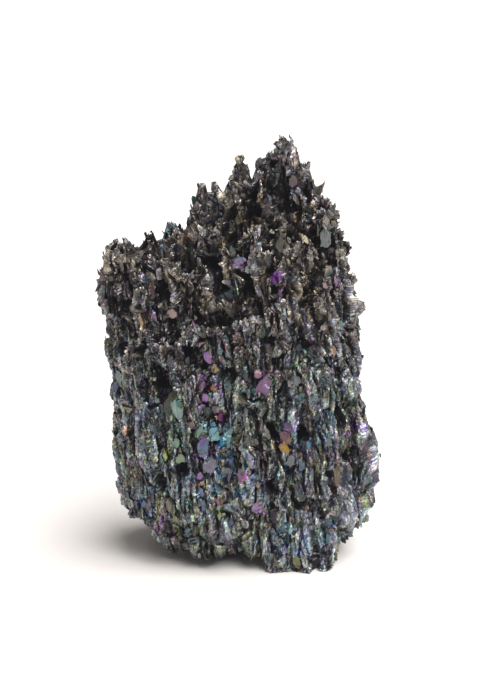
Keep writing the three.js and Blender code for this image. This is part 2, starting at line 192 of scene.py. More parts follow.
# Single plates: the place in the picture, width and height in millimetres, the film's thickness in nanometres
# at its top and its bottom, and how strong its colour is.
SINGLE_PLATES = (
    (326, 224, 1.9, 5, 235, 225, 0.12), (165, 226, 1.3, 3.2, 350, 345, 0.45),
    (182, 240, 0.9, 3, 252, 248, 0.5), (240, 261, 3, 2.4, 508, 462, 0.4),
    (244, 266, 1.6, 1.2, 452, 448, 0.5), (277, 277, 2, 3.4, 478, 466, 0.6),
    (279, 291, 1.4, 2.2, 458, 450, 0.65), (292, 191, 0.9, 1.6, 328, 326, 0.4),
    (295, 218, 1, 2.4, 240, 236, 0.4), (151, 290, 1.3, 3, 436, 432, 0.55), (263, 280, 1, 1.8, 250, 246, 0.5),
    (237, 288, 0.5, 4, 362, 356, 0.5), (336, 282, 0.9, 2, 452, 448, 0.45), (335, 294, 1, 1.7, 440, 436, 0.4),
    (154, 315, 1, 3, 470, 462, 0.35), (172, 313, 2, 2.4, 436, 430, 0.35),
    (141, 320, 1.2, 2.4, 248, 242, 0.4), (194, 324, 1, 1.8, 452, 448, 0.45),
    (341, 324, 1.4, 1.6, 340, 336, 0.45), (334, 352, 1, 2.8, 250, 246, 0.45),
    (347, 351, 1.3, 2.2, 242, 238, 0.25), (354, 348, 1.1, 2, 446, 440, 0.45),
    (208, 358, 2.1, 2.8, 482, 452, 0.42), (214, 369, 2.2, 1.9, 434, 416, 0.6),
    (220, 357, 0.8, 2.6, 250, 246, 0.35), (162, 368, 0.5, 2, 392, 386, 0.5),
    (284, 368, 0.9, 1.8, 382, 376, 0.45), (271, 369, 0.7, 1.6, 436, 432, 0.5),
    (245, 372, 0.8, 3.2, 350, 344, 0.5), (258, 374, 2, 2.2, 450, 442, 0.45),
    (264, 386, 3.4, 4.2, 448, 470, 0.34), (204, 379, 1.7, 2, 482, 474, 0.4),
    (201, 387, 1.2, 1.7, 434, 430, 0.7), (213, 388, 1.5, 1.7, 258, 246, 0.65),
    (205, 397, 1.8, 2.4, 482, 470, 0.4), (203, 409, 1.9, 2.6, 486, 476, 0.35),
    (207, 413, 1, 1.6, 438, 434, 0.5), (171, 404, 3.4, 4.8, 405, 358, 0.22),
    (178, 410, 2.8, 5.6, 352, 346, 0.35), (219, 417, 2, 1.4, 432, 427, 0.75),
    (214, 434, 2.4, 4, 346, 334, 0.6), (222, 441, 1.1, 3.2, 330, 324, 0.75),
    (229, 438, 1.5, 6, 348, 340, 0.55), (213, 424, 1.5, 1.5, 334, 330, 0.7),
    (231, 461, 1.1, 1.8, 320, 316, 0.8), (218, 460, 1.1, 1.6, 322, 318, 0.7),
    (211, 465, 3.6, 3.8, 500, 494, 0.25), (203, 453, 2.8, 3.2, 496, 488, 0.3),
    (124, 431, 2.1, 2.2, 252, 268, 0.4), (121, 439, 1.8, 2.4, 472, 462, 0.3),
    (288, 427, 2.4, 3, 292, 274, 0.45), (286, 437, 2.8, 3, 268, 252, 0.5), (284, 448, 2.4, 3, 246, 236, 0.7),
    (254, 442, 2, 2, 240, 236, 0.1), (268, 435, 1.4, 2.6, 600, 590, 0.1), (268, 450, 1, 1, 238, 234, 0.5),
    (309, 445, 1, 2.4, 328, 324, 0.6), (176, 443, 1.8, 2.6, 362, 352, 0.55),
    (165, 455, 1.3, 3, 388, 378, 0.55), (180, 459, 2.2, 2.2, 366, 356, 0.4),
    (242, 477, 1.9, 2.4, 464, 456, 0.5), (253, 477, 1.4, 1.6, 318, 314, 0.4),
    (200, 476, 1.6, 1.8, 470, 462, 0.45), (202, 483, 1.5, 1.3, 252, 246, 0.45),
    (258, 486, 1.4, 1.2, 240, 236, 0.45), (202, 492, 1.3, 2.4, 322, 316, 0.4),
    (203, 505, 1.5, 3, 320, 314, 0.35), (219, 502, 1.4, 1.8, 442, 438, 0.4),
    (159, 502, 0.8, 1.4, 394, 388, 0.45), (220, 516, 1, 1.8, 390, 384, 0.45),
    (177, 520, 1, 1.6, 388, 382, 0.45), (256, 509, 2, 2.8, 482, 474, 0.35),
    (245, 522, 1.5, 1.4, 432, 426, 0.4), (290, 519, 1.1, 1.1, 250, 246, 0.5),
    (283, 526, 0.9, 3, 342, 336, 0.45), (328, 540, 0.9, 3, 342, 336, 0.45),
    (291, 461, 2, 3.2, 500, 490, 0.12), (144, 504, 1.2, 1.6, 322, 316, 0.4),
)

# Where the crystals have mostly one colour: the place in the picture, the radius in millimetres, how often.
ZONES = (
    (TEAL, 342, 320, 2.2, 0.5), (TEAL, 212, 428, 2.4, 0.8), (CYAN, 224, 440, 2.2, 0.9),
    (CYAN, 231, 458, 1.6, 0.8), (BLUE, 203, 500, 1.7, 0.6), (BLUE, 254, 478, 1.8, 0.6),
    (TEAL, 245, 372, 1.6, 0.7), (TEAL, 250, 402, 2.2, 0.8), (CYAN, 286, 387, 1.3, 0.6),
    (TEAL, 341, 400, 2.5, 0.4), (CYAN, 325, 425, 2.5, 0.5), (BLUE, 309, 447, 2, 0.6),
    (CYAN, 290, 465, 2.5, 0.4), (TEAL, 283, 530, 3, 0.5), (BLUE, 300, 545, 3.5, 0.4),
    (TEAL, 328, 535, 2.6, 0.5), (LAVENDER, 205, 455, 2.6, 0.6), (VIOLET, 203, 385, 1.6, 0.8),
    (VIOLET, 205, 402, 1.5, 0.8), (MAGENTA, 210, 362, 1.5, 0.8), (RED, 213, 370, 1.2, 0.8),
    (RED, 214, 387, 1.1, 0.7), (RED, 220, 416, 1.2, 0.8), (MAGENTA, 196, 322, 1.8, 0.5),
    (PINK, 172, 312, 1.8, 0.5), (ORANGE, 141, 318, 1.7, 0.6), (PURPLE, 155, 308, 1.5, 0.5),
    (PINK, 151, 290, 1.1, 0.8), (BLUE, 147, 278, 0.9, 0.7), (VIOLET, 240, 263, 1.7, 0.7),
    (GREEN, 226, 282, 1.8, 0.5), (TEAL, 165, 226, 1.4, 0.7), (ORANGE, 182, 240, 1.3, 0.6),
    (PURPLE, 148, 252, 1.3, 0.6), (TEAL, 199, 203, 2.2, 0.4), (GREEN, 260, 242, 1.2, 0.7),
    (GOLD, 250, 217, 3, 0.4), (GOLD, 222, 236, 2.2, 0.3), (PINK, 336, 288, 1.3, 0.6),
    (ORANGE, 334, 350, 1.3, 0.7), (PINK, 354, 347, 1.3, 0.6), (RED, 303, 387, 1.2, 0.5),
    (LIME, 284, 368, 1.1, 0.6), (LIME, 308, 407, 2, 0.4), (GREEN, 172, 440, 2.8, 0.7),
    (LIME, 168, 455, 2, 0.6), (GREEN, 176, 402, 2.2, 0.6), (PINK, 128, 432, 1.8, 0.7),
    (ORANGE, 283, 447, 1.3, 0.7), (PURPLE, 288, 428, 1.3, 0.7), (MAGENTA, 242, 477, 1.1, 0.7),
    (VIOLET, 261, 507, 2, 0.5), (PINK, 220, 502, 1.5, 0.5), (LIME, 222, 515, 1.4, 0.5),
    (ORANGE, 243, 521, 1.7, 0.5), (LIME, 181, 523, 2, 0.5), (BLUE, 143, 503, 2, 0.4),
    (YELLOW, 160, 502, 1, 0.5), (ORANGE, 197, 484, 1.1, 0.6), (CYAN, 293, 192, 1, 0.6),
    (ORANGE, 295, 218, 0.9, 0.6), (GREEN, 346, 266, 1.1, 0.6), (LAVENDER, 355, 425, 2.5, 0.4),
    (BLUE, 232, 476, 2.4, 0.5), (CYAN, 216, 488, 2.4, 0.45), (BLUE, 262, 500, 2.4, 0.45),
    (TEAL, 190, 470, 2.4, 0.4), (PINK, 163, 478, 1.6, 0.4), (BLUE, 150, 515, 1.8, 0.4),
    (TEAL, 187, 505, 1.8, 0.4), (LIME, 205, 527, 1.8, 0.4), (CYAN, 240, 495, 1.8, 0.5),
    (PINK, 262, 525, 1.6, 0.4), (TEAL, 270, 545, 2, 0.5), (TEAL, 252, 388, 2.4, 0.6),
    (GREEN, 300, 368, 2.4, 0.5), (TEAL, 318, 392, 2.4, 0.5), (PINK, 238, 348, 2, 0.5),
    (VIOLET, 192, 352, 2, 0.5), (MAGENTA, 279, 290, 1.2, 0.8), (VIOLET, 276, 275, 1.3, 0.8),
    (MAGENTA, 262, 380, 1.6, 0.8), (TEAL, 144, 347, 0.9, 0.7),
)

# The material. Scales are in cells to a metre.
GLASS, CRYSTAL = 1.46, 2.65  # refractive indices of the film and of silicon carbide
WAVELENGTHS = (612, 549, 464)  # of red, green and blue light, in nanometres
WARMTH = (1.022, 0.998, 0.985)  # how the bare crystal's grey leans to each of them
BARE_SHARE = 0.62  # of what a polished face reflects, what a face with hardly any film does
SWAY_SCALE = 650
SWAY = 0.0012  # how much the cells are bent, in metres
CELL_SCALE = 2150
CELL_STRETCH = (1, 1, 0.4)
GRAIN_SCALE = 5200
FILM_WANDER = 20  # how much the film's thickness differs from cell to cell
TINT_WANDER = 1.3
TINT_LOSS = -0.5  # with the line above: a cell's colour is from 0.5 to 1.8 times as strong
CELL_LIGHT = 3.6  # the least that a cell is brightened by. The most is twice that
PLAIN_LIGHT = 1.7  # the brightness of a plate
PAINTED_EDGE_SHADE = (0, 0.12), (0.5, 0.32), (0.5, 0.71875), (1, 1)  # the way in from a cell's edge, and the light there: painted shade, darkest at the edge
RIDGE_WIDTH = 0.3
GRAIN_BUMP = 0.08

# The studio, in metres. A light has its name, its kind, its place, its size and its power.
LIGHTS = (
    ("overhead", "SUN", (0.45, -0.02, 1.0), math.radians(64), 3.9),
    ("front", "AREA", (0.3, -0.6, 0.8), 0.6, 5.5),
)
FLOOR_COLOUR = (0.95, 0.905, 0.865, 1)
SURROUND_COLOUR = (1, 0.96, 0.93, 1)
BLACK_LEVEL = (-0.0052, -0.0052, -0.006)  # below nought, it lays a faint veil over the darkest parts


# --- noises ---


def eased(share):
    """From 0 to 1, slowly at both ends."""
    return share * share * (3 - 2 * share)


def slope(values, start, over):
    """From 0 at the start to 1 that much further on, evenly."""
    return np.clip((values - start) / over, 0, 1)


def ramp(values, low, high):
    """From 0 at low to 1 at high, smoothly."""
    return eased(slope(values, low, high - low))


def graded(sizes, upper):
    """The size in the lower part, and what the upper part adds to it."""
    return sizes[0] + sizes[1] * upper


def unit(vectors):
    return vectors / np.maximum(np.linalg.norm(vectors, axis=1, keepdims=True), 1e-12)


def nearness(points, centre, radius):
    """From 1 at the centre to 0 well past the radius."""
    return np.exp(-(((points - centre) / radius) ** 2).sum(1))


def value_noise(points, cell, seed):
    """Smooth values from -1 to 1 at points, with one random value to each corner of a lattice."""
    lattice = np.random.default_rng(seed).uniform(-1, 1, (LATTICE, LATTICE, LATTICE))
    at = points / np.asarray(cell, float)
    low = np.floor(at).astype(np.int64)
    share = eased(at - low)
    total = np.zeros(len(points))
    for corner in np.ndindex(2, 2, 2):
        weight = np.prod(np.where(corner, share, 1 - share), axis=1)
        i, j, k = ((low + corner) % LATTICE).T
        total += weight * lattice[i, j, k]
    return total


def vector_noise(points, cell, seeds):
    """Smooth random vectors at points, with one noise to each axis."""
    return np.stack([value_noise(points, cell, seed) for seed in seeds], 1)


def cells_at(points, cell, seed):
    """The cell that each point is in, of cells grown from a random seed point in each box of a lattice: how
    far in from its border it is, from 0 to about 1, the cell's number and the way to its seed point."""
    seeds = np.random.default_rng(seed).uniform(0.05, 0.95, (LATTICE, LATTICE, LATTICE, 3))
    at = points / np.asarray(cell, float)
    low = np.floor(at).astype(np.int64)
    nearest = np.full(len(at), np.inf)
    second = np.full(len(at), np.inf)
    number = np.zeros(len(at), np.int64)
    way = np.zeros_like(at)
    for step in np.ndindex(3, 3, 3):
        box = low + step - 1
        i, j, k = (box % LATTICE).T
        gap = box + seeds[i, j, k] - at
        distance = np.sqrt((gap * gap).sum(1))
        closer = distance < nearest
        second = np.where(closer, nearest, np.minimum(second, distance))
        nearest = np.where(closer, distance, nearest)
        number[closer] = ((i * LATTICE + j) * LATTICE + k)[closer]
        way[closer] = gap[closer]
    return second - nearest, number, way * cell


def chances(number, seed, width):
    """A row of random values from 0 to 1, as long as the width says, for each cell number."""
    return np.random.default_rng(seed).uniform(0, 1, (LATTICE**3, width))[number]


def upright(points):
    """The same places without the growth direction's lean, so that a cell of noise stands along it."""
    straight = points.copy()
    straight[:, 0] += points[:, 2] * math.tan(GROWTH_LEAN)
    return straight


def growth_direction(points):
    """The way the crystals point: up, leaning to -X, in bundles that differ a little."""
    start, over = LEFT_PART
    leftness = slope(-points[:, 0], -start, over)
    lean_across = 0.13 * value_noise(points, (5, 5, 5), 31) - np.tan(GROWTH_LEAN + LEFT_LEAN * leftness)
    lean_in = 0.12 * value_noise(points, (5, 5, 5), 32)
    return unit(np.stack([lean_across, lean_in, np.ones(len(points))], 1))


# --- meshes ---


def mesh_arrays(mesh):
    """A mesh's vertices, in millimetres, its triangles and its vertex normals."""
    mesh.calc_loop_triangles()
    points = np.empty(len(mesh.vertices) * 3, np.float32)
    mesh.vertices.foreach_get("co", points)
    corners = np.empty(len(mesh.loop_triangles) * 3, np.int32)
    mesh.loop_triangles.foreach_get("vertices", corners)
    normals = np.empty(len(mesh.vertices) * 3, np.float32)
    mesh.vertices.foreach_get("normal", normals)
    points, normals = (values.reshape(-1, 3).astype(float) for values in (points, normals))
    return points / MM, corners.reshape(-1, 3), normals


def tree_of(points, triangles):
    return BVHTree.FromPolygons(list(map(Vector, points)), triangles.tolist())


def remeshed(source, voxel):
    """A copy of an object's mesh as an even skin of that voxel size, in millimetres."""
    copy = bpy.data.objects.new("remesh", source.data.copy())
    bpy.context.scene.collection.objects.link(copy)
    skin = copy.modifiers.new("skin", "REMESH")
    skin.mode = "VOXEL"
    skin.voxel_size = voxel * MM
    evaluated = copy.evaluated_get(bpy.context.evaluated_depsgraph_get())
    mesh = bpy.data.meshes.new_from_object(evaluated)
    bpy.data.objects.remove(copy)
    return mesh


def new_mesh(name, points, loops, totals, growth):
    """A mesh of flat faces. Loops holds their corners in a row, totals how many each has, and growth what the
    material reads at the points."""
    mesh = bpy.data.meshes.new(name)
    mesh.vertices.add(len(points))
    mesh.vertices.foreach_set("co", (points * MM).astype(np.float32).ravel())
    mesh.loops.add(len(loops))
    mesh.loops.foreach_set("vertex_index", loops.astype(np.int32))
    mesh.polygons.add(len(totals))
    mesh.polygons.foreach_set("loop_start", (np.cumsum(totals) - totals).astype(np.int32))
    mesh.polygons.foreach_set("loop_total", totals.astype(np.int32))
    mesh.update(calc_edges=True)
    mesh.shade_flat()
    colour = mesh.attributes.new("growth", "FLOAT_VECTOR", "POINT")
    colour.data.foreach_set("vector", np.ascontiguousarray(growth[:, :3], np.float32).ravel())
    plain = mesh.attributes.new("plainness", "FLOAT", "POINT")
    plain.data.foreach_set("value", np.ascontiguousarray(growth[:, 3], np.float32))
    return mesh


def new_piece(name, mesh, material):
    piece = bpy.data.objects.new(name, mesh)
    bpy.context.scene.collection.objects.link(piece)
    mesh.materials.append(material)
    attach(piece, "root")
    return piece


def growth_values(film, strength, shade, plain=0.0):
    """Film, strength of colour, shade and plainness of each point. Single values spread to all."""
    return np.stack(np.broadcast_arrays(film, strength, shade, plain), -1)


# --- colour ---


def film_at(share, films):
    """The film's thickness at that share of the crystals."""
    return np.interp(share * (len(films) - 1), np.arange(len(films)), films)


def tints_at(points, chance):
    """Film thickness, in nanometres, and strength of colour, from 0 to 1, of crystals at these places. Chance
    holds four values from 0 to 1 for each."""
    height = points[:, 2]
    straight = upright(points)
    patch = 0.9 * value_noise(straight, (4, 4, 7), 11) + 0.6 * value_noise(straight, (1.6, 1.6, 3), 12)
    share = np.clip(0.5 + 0.5 * patch + 0.6 * (chance[:, 0] - 0.5), 0, 1)
    in_crown = chance[:, 1] < slope(height, *CROWN_FILMS_RISE)
    film = np.where(in_crown, film_at(share, CROWN_FILMS), film_at(share, LOWER_FILMS))
    lively = 0.5 + 0.5 * value_noise(points, (6, 6, 6), 13) - 0.35 * slope(height, *DULLER_RISE)
    usual = graded(USUAL_COLOUR, np.clip(lively, 0, 1))
    strength = FAINTEST_COLOUR + COLOUR_SPREAD * chance[:, 2] * usual
    for (zone_film, _, _, radius, often), centre in zip(ZONES, ZONE_CENTRES):
        mine = chance[:, 3] < nearness(points, centre, radius) * often * 1.3
        film = np.where(mine, zone_film + 26 * (chance[:, 0] - 0.5), film)
        strength = np.where(mine, 0.2 + 0.45 * chance[:, 2], strength)
    strength += 0.04 * ramp(-height, -46, -30)
    return film, np.clip(strength, 0.03, 1)


class Wiring:
    """A material's nodes, and short ways to add and join them."""

    def __init__(self, material):
        material.use_nodes = True
        self.nodes = material.node_tree.nodes
        self.links = material.node_tree.links
        self.nodes.clear()

    def add(self, kind, inputs, **settings):
        """A new node's outputs. Each of its inputs named here gets a value or another node's output."""
        node = self.nodes.new("ShaderNode" + kind)
        for name, value in settings.items():
            setattr(node, name, value)
        for key, value in inputs.items():
            if isinstance(value, bpy.types.NodeSocket):
                self.links.new(value, node.inputs[key])
            else:
                node.inputs[key].default_value = value
        return node.outputs

    def maths(self, operation, *values):
        return self.add("Math", dict(enumerate(values)), operation=operation)[0]

    def vector_maths(self, operation, *values):
        return self.add("VectorMath", dict(enumerate(values)), operation=operation)[0]


def small_cells(net):
    """Small cells, taller than wide and bent by a slow noise: their chances, the way in from their edges, and
    a fine grain."""
    place = net.add("TexCoord", {})["Object"]
    sway = net.add("TexNoise", {"Scale": SWAY_SCALE, "Detail": 2, "Vector": place})["Color"]
    sway = net.vector_maths("SUBTRACT", sway, (0.5, 0.5, 0.5))
    bent = net.vector_maths("ADD", place, net.vector_maths("MULTIPLY", sway, (SWAY, SWAY, SWAY)))
    cells = {"Scale": CELL_SCALE, "Vector": net.vector_maths("MULTIPLY", bent, CELL_STRETCH)}
    own = net.add("SeparateColor", {0: net.add("TexVoronoi", cells, feature="F1")["Color"]})
    edge = net.add("TexVoronoi", cells, feature="DISTANCE_TO_EDGE")["Distance"]
    return own, edge, net.add("TexNoise", {"Scale": GRAIN_SCALE, "Detail": 1, "Vector": bent})[0]


def painted_edge_shade(net, edge):
    """Painted shade: darkest at a cell's edge, in the crack between cells, and paler inwards."""
    light = net.add("ValToRGB", {0: edge})[0]
    stops = light.node.color_ramp.elements
    for place, _ in PAINTED_EDGE_SHADE[1:-1]:
        stops.new(place)
    for stop, (_, level) in zip(stops, PAINTED_EDGE_SHADE):
        stop.color = (level, level, level, 1)
    return light


def film_colour(net, thickness, strength, level):
    """What crystal under a clear film of that thickness reflects, drawn towards bare crystal where the colour
    is weak. The film's two surfaces each throw back a wave, and the waves help or cancel each other."""
    outer = (1 - GLASS) / (1 + GLASS)
    inner = (GLASS - CRYSTAL) / (GLASS + CRYSTAL)
    bare = ((CRYSTAL - 1) / (CRYSTAL + 1)) ** 2 * BARE_SHARE
    colours = []
    for wavelength, warmth in zip(WAVELENGTHS, WARMTH):
        wave = net.maths("COSINE", net.maths("MULTIPLY", thickness, 4 * math.pi * GLASS / wavelength))
        beat = net.maths("MULTIPLY", wave, 2 * outer * inner)
        thrown_back = net.maths("ADD", beat, outer**2 + inner**2)
        mirrored = net.maths("DIVIDE", thrown_back, net.maths("ADD", beat, 1 + (outer * inner) ** 2))
        difference = net.maths("SUBTRACT", mirrored, bare)
        coloured = net.maths("MULTIPLY_ADD", difference, strength, bare * warmth)
        colours.append(net.maths("MULTIPLY", coloured, level))
    return net.add("CombineColor", dict(enumerate(colours)))[0]


def crystal_material():
    """Dark crystal under a clear film, whose thickness sets its colours, as on a soap bubble."""
    material = bpy.data.materials.new("iridescent_crystal")
    net = Wiring(material)
    growth = net.add("Attribute", {}, attribute_name="growth")["Vector"]
    film, strength, shade = net.add("SeparateXYZ", {0: growth})
    plain = net.add("Attribute", {}, attribute_name="plainness")["Fac"]
    detail = net.maths("SUBTRACT", 1.0, plain)
    own, edge, grain = small_cells(net)

    reach = net.maths("MULTIPLY", detail, FILM_WANDER)
    thickness = net.maths("ADD", film, net.maths("MULTIPLY", net.maths("SUBTRACT", own[0], 0.5), reach))
    tint = net.maths("MULTIPLY", net.maths("MULTIPLY_ADD", own[1], TINT_WANDER, TINT_LOSS), detail)
    strength = net.maths("MULTIPLY", strength, net.maths("ADD", tint, 1.0))

    sparkle = net.maths("MULTIPLY_ADD", grain, 1.0, 0.5)
    uneven = net.maths("MULTIPLY", net.maths("MULTIPLY_ADD", own[2], CELL_LIGHT, CELL_LIGHT), sparkle)
    # Painted shade at the cells' edges, times a brightness that differs from cell to cell.
    rough_level = net.maths("MULTIPLY", painted_edge_shade(net, edge), uneven)
    plainer = net.maths("SUBTRACT", PLAIN_LIGHT, rough_level)
    level = net.maths("MULTIPLY", shade, net.maths("MULTIPLY_ADD", plainer, plain, rough_level))

    ridges = net.maths("MULTIPLY", net.maths("MINIMUM", edge, RIDGE_WIDTH), detail)
    height = net.maths("ADD", ridges, net.maths("MULTIPLY", grain, GRAIN_BUMP))
    looks = {
        "Metallic": 1.0,
        "Roughness": 0.42,
        "Base Color": film_colour(net, thickness, strength, level),
        "Normal": net.add("Bump", {"Strength": 0.35, "Distance": 0.0002, "Height": height})[0],
    }
    net.add("OutputMaterial", {0: net.add("BsdfPrincipled", looks)[0]})
    return material


# --- places ---


def seen_at(places):
    """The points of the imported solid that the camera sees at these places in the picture."""
    across, down = PICTURE
    focal = LENS / SENSOR * max(PICTURE)
    eye = camera.matrix_world.translation / MM
    points = []
    for x, y in places:
        ray = Vector((x - across / 2, down / 2 - y, -focal))
        points.append(solid_tree.ray_cast(eye, (camera.matrix_world.to_3x3() @ ray).normalized())[0])
    return np.array(points)


def in_picture(points):
    """How far across and up in the picture the points are, in millimetres at the target's distance."""
    away = points - TARGET
    nearer = away[:, 2] * math.sin(ELEVATION) - away[:, 1] * math.cos(ELEVATION)
    rise = away[:, 1] * math.sin(ELEVATION) + away[:, 2] * math.cos(ELEVATION)
    growth = DISTANCE / (DISTANCE - nearer)
    return away[:, 0] * growth, rise * growth


def picture_place(x, y):
    """A place in the picture in those same millimetres."""
    across, down = PICTURE
    scale = DISTANCE * SENSOR / LENS / max(PICTURE)
    return (x - across / 2) * scale, (down / 2 - y) * scale


def hollows_at(points):
    """How deep the points are in the hollows, from 0 to 1. Upright strands stand in them."""
    bent = points + 1.1 * vector_noise(points, (2.2, 2.2, 3.2), (84, 85, 86))
    deep = 0.6 * ramp(value_noise(points, (5, 5, 7), 81) - 0.5 * ramp(-points[:, 2], -60, -40), 0.5, 0.85)
    for (_, _, width, tall), centre in zip(HOLLOWS, HOLLOW_CENTRES):
        away = (bent - centre) / (width, width, tall)
        deep = np.maximum(deep, ramp((away * away).sum(1), 1.9, 0.4))
    strand = ramp(value_noise(upright(points), (0.9, 0.9, 3.5), 83), 0.1, 0.5)
    return deep * (1 - 0.6 * strand)


def spots_at(points, level, spots, centres):
    """A level at the points, to which each spot adds its amount around its centre."""
    values = np.full(len(points), float(level))
    for (_, _, radius, amount), centre in zip(spots, centres):
        values += amount * nearness(points, centre, radius)
    return values


def cut_notches(points):
    """Lowers the points that stand above a notch's sides, as the camera sees them."""
    waver = NOTCH_WAVER * value_noise(points, (2, 2, 1.5), 87)
    for (_, _, steepness), (middle, lowest) in zip(NOTCHES, NOTCH_PLACES):
        across, rise = in_picture(points)
        side = np.abs(across - middle + waver)
        over = rise - lowest - steepness * np.maximum(side - NOTCH_FLOOR, 0)
        points[:, 2] -= np.maximum(over, 0) * (side < NOTCH_REACH) * NOTCH_SHARE / math.cos(ELEVATION)


# --- relief ---


def bundles_at(bent, upper):
    """Upright bundles with clefts between them, and narrower ones inside: their height, and their brightness,
    which differs at random, with painted shade in the clefts and gaps.
    """
    wide, _, _ = cells_at(bent, (2.7, 2.7, 12), 61)
    narrow, number, _ = cells_at(bent, (1.15, 1.15, 7.5), 60)
    own = chances(number, 62, 3)
    open_share = ramp(value_noise(bent, (2.2, 2.2, 4), 69), -0.6, 0.5)
    cleft = 1 - ramp(wide, 0.02, graded(CLEFT_WIDTH, upper))
    gap = (1 - ramp(narrow, 0.0, 0.34)) * (0.35 + 0.65 * open_share)
    height = graded(BUNDLE_RISE, upper) * (own[:, 0] - 0.5) - graded(CLEFT_DEPTH, upper) * cleft
    height -= graded(GAP_DEPTH, upper) * gap
    # Painted shade darkens the clefts and gaps between the bundles.
    return height, (0.77 + 0.52 * own[:, 1]) * (1 - 0.68 * cleft) * (1 - 0.68 * gap)


def cups_at(bent, upper):
    """Open cups, most of them in the upper part: their height, their brightness, with a painted highlight on
    the rims and painted shade inside, and their raised rims.
    """
    edge, number, _ = cells_at(bent, (1.8, 1.8, 3.6), 72)
    is_cup = chances(number, 73, 1)[:, 0] < graded(CUP_SHARE, upper)
    cup = is_cup * ramp(edge, 0.12, 0.5)
    rim = is_cup * ramp(edge, 0.0, 0.08) * (1 - ramp(edge, 0.14, 0.3))
    # Painted highlight on the cups' rims, and painted shade inside them.
    return CUP_RIM * rim - graded(CUP_DEPTH, upper) * cup, (1 + 0.5 * rim) * (1 - 0.6 * cup), rim


def crystals_at(bent, upper, axes, sides):
    """Single crystals, each tilted its own way: their height, their numbers and their brightness, which differs
    at random, with a painted highlight on the rims of some.
    """
    lower_ones = cells_at(bent, (0.52, 0.52, 2.1), 63)
    upper_ones = cells_at(bent, (0.46, 0.46, 1.5), 64)
    is_lower = upper < 0.5
    edge = np.where(is_lower, lower_ones[0], upper_ones[0])
    number = np.where(is_lower, lower_ones[1], upper_ones[1])
    way = np.where(is_lower[:, None], lower_ones[2], upper_ones[2])
    chance = chances(number, 65, 6)
    tilt = 1.1 * (chance[:, 0] - 0.5) * (way * sides).sum(1)
    tilt += 0.4 * (chance[:, 1] - 0.5) * (way * axes).sum(1)
    height = graded(CRYSTAL_RISE, upper) * (chance[:, 2] - 0.5) + graded(CRYSTAL_TILT, upper) * tilt
    height -= CRYSTAL_GROOVE * (1 - ramp(edge, 0.0, 0.25))
    # Painted highlight: a bright rim just inside the edge of half the crystals.
    rim = ramp(edge, 0.05, 0.15) * (1 - ramp(edge, 0.2, 0.4)) * (chance[:, 4] > 0.5)
    return height, number, (0.5 + chance[:, 5]) * (1 + 0.4 * rim)


def relief_at(points, normals):
    """The grown surface's height over its base, its crystals' numbers, how bright it is, with painted light and
    shade, and how tan.
    """
    straight = upright(points)
    bent = straight + 0.4 * vector_noise(straight, (2.2, 2.2, 3.6), (51, 52, 53)) * (1, 1, 1.3)
    bent += 0.15 * vector_noise(straight, (0.7, 0.7, 0.9), (54, 55, 56))
    axes = growth_direction(points)
    sides = unit(np.cross(axes, normals))
    upper = ramp(points[:, 2] + UPPER_WAVER * value_noise(points, (7, 7, 7), 71), *UPPER_PART)
    height, tone_and_cleft_shade = bundles_at(bent, upper)
    cup_height, cup_rim_highlight_and_shade, rim = cups_at(bent, upper)
    crystal_height, number, own_tone_and_rim_highlight = crystals_at(bent, upper, axes, sides)
    height += cup_height
    height += crystal_height
    height += GRIT * (np.random.default_rng(74).uniform(0, 1, len(points)) - 0.5)

    # Paler towards the foot, in part painted light on the lower front, and paler in the upper part. Painted
    # shade under the overhang at the bottom, on the faces that look down.
    down = -points[:, 2]
    level = 1.52 + 0.65 * ramp(down, -50, -30) + 0.3 * ramp(down, -12, -3) + 0.3 * upper
    # Painted shade on the faces that look down, low on the body.
    under = ramp(-normals[:, 2], 0.1, 0.55) * ramp(down, -14, -8)
    return height, number, own_tone_and_rim_highlight * (tone_and_cleft_shade * cup_rim_highlight_and_shade) * level * (1 - 0.6 * under), rim * upper


# --- ground ---


def smoothed(values, edges, rounds):
    """Values at a mesh's points, averaged over their neighbours along the edges."""
    ends = np.concatenate([edges[:, 0], edges[:, 1]])
    others = np.concatenate([edges[:, 1], edges[:, 0]])
    share = 1 / (1 + np.bincount(ends, minlength=len(values)))
    for _ in range(rounds):
        near = [np.bincount(ends, values[others, axis], len(values)) for axis in range(3)]
        values = (values + np.stack(near, 1)) * share[:, None]
    return values


def largest_skin(quads, count):
    """The faces of the largest connected skin, without loose specks. Count is the number of points."""
    label = np.arange(count)
    before = None
    while before is None or (label != before).any():
        before = label
        label = before.copy()
        lowest = before[quads].min(1)
        for corner in range(4):
            np.minimum.at(label, quads[:, corner], lowest)
        label = label[label]
    return quads[label[quads[:, 0]] == np.bincount(label[quads[:, 0]]).argmax()]


def thickness_at(points, normals, tree):
    """How thick the body is straight in from each point."""
    thickness = np.full(len(points), DEEPEST_LOOK)
    for index, (place, normal) in enumerate(zip(points - normals * 0.05, normals)):
        hit = tree.ray_cast(Vector(place), Vector(-normal), DEEPEST_LOOK)
        if hit[0] is not None:
            thickness[index] = hit[3]
    return thickness


